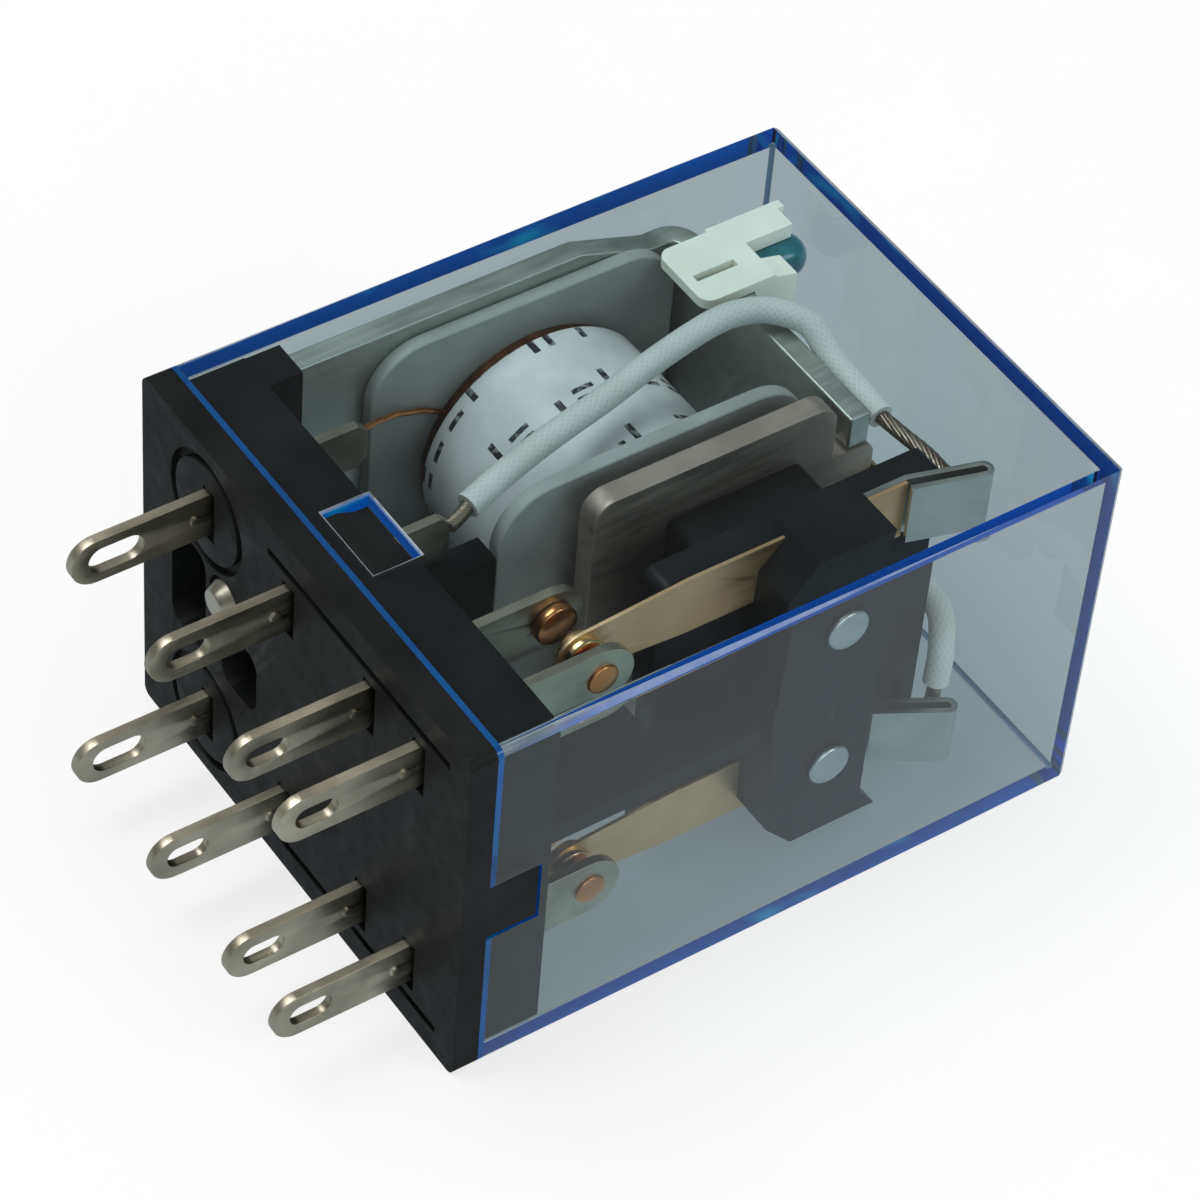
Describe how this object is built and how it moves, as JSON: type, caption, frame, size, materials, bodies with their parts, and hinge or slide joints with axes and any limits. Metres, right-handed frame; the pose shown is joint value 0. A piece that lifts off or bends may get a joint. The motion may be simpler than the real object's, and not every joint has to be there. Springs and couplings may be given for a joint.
{
  "type": "plug-in relay",
  "caption": "Plug-in power relay with flat blades, a coil, changeover contacts on a swinging armature and an indicator lamp under a clear clip-on cover.",
  "frame": {"origin": "centre of the base's seating face, where the blades leave it", "axes": "+X along the relay's height from the blades to the cover's top; +Y across the wide side towards the coil; +Z across the two poles, away from the surface it lies on"},
  "size_m": [0.0432, 0.028, 0.0216],
  "materials": {
    "clear_cover": "clear, faintly blue",
    "black_plastic": "satin",
    "tinned": "dull tinned",
    "steel": "satin",
    "copper": "bare copper",
    "bronze": "satin",
    "gold": "plated",
    "pale_plastic": "satin",
    "tape": "smooth",
    "cream_plastic": "satin",
    "teal_plastic": "glossy",
    "white_sleeve": "woven sleeve"
  },
  "bodies": {
    "root": {"cover": "clear_cover", "base": "black_plastic", "base_rivet": "steel", "coil_terminal_1": "tinned", "coil_terminal_2": "tinned", "common_terminal_1": "tinned", "common_terminal_2": "tinned", "open_terminal_1": "tinned", "open_terminal_2": "tinned", "closed_terminal_1": "tinned", "closed_terminal_2": "tinned", "open_contact_1": "copper", "open_contact_2": "copper", "closed_contact_1": "copper", "closed_contact_2": "copper", "yoke": "steel", "core": "steel", "bobbin": "pale_plastic", "coil_winding": "copper", "coil_tape": "tape", "coil_lead_1": "copper", "coil_lead_2": "copper", "hinge_spring": "bronze", "hinge_spring_rivet": "tinned", "pigtail_1": "white_sleeve", "pigtail_2": "white_sleeve", "led_holder": "cream_plastic", "led": "teal_plastic", "led_resistor": "cream_plastic"},
    "armature": {"armature": "steel", "contact_block": "black_plastic", "block_rivet_1": "tinned", "block_rivet_2": "tinned", "moving_spring_1": "bronze", "moving_spring_2": "bronze", "moving_contact_1": "gold", "moving_contact_2": "gold", "spring_clip_1": "tinned", "spring_clip_2": "tinned"}
  },
  "joints": [
    {"name": "armature_swing", "type": "hinge", "parent": "root", "child": "armature", "pos_m": [0.0291, -0.00145, 0], "axis": [0, 0, -1], "range_deg": [0, 3], "stiffness_Nm_per_rad": 0.01, "springref_deg": -8.59, "deforming": ["pigtail_1", "pigtail_2"]}
  ]
}
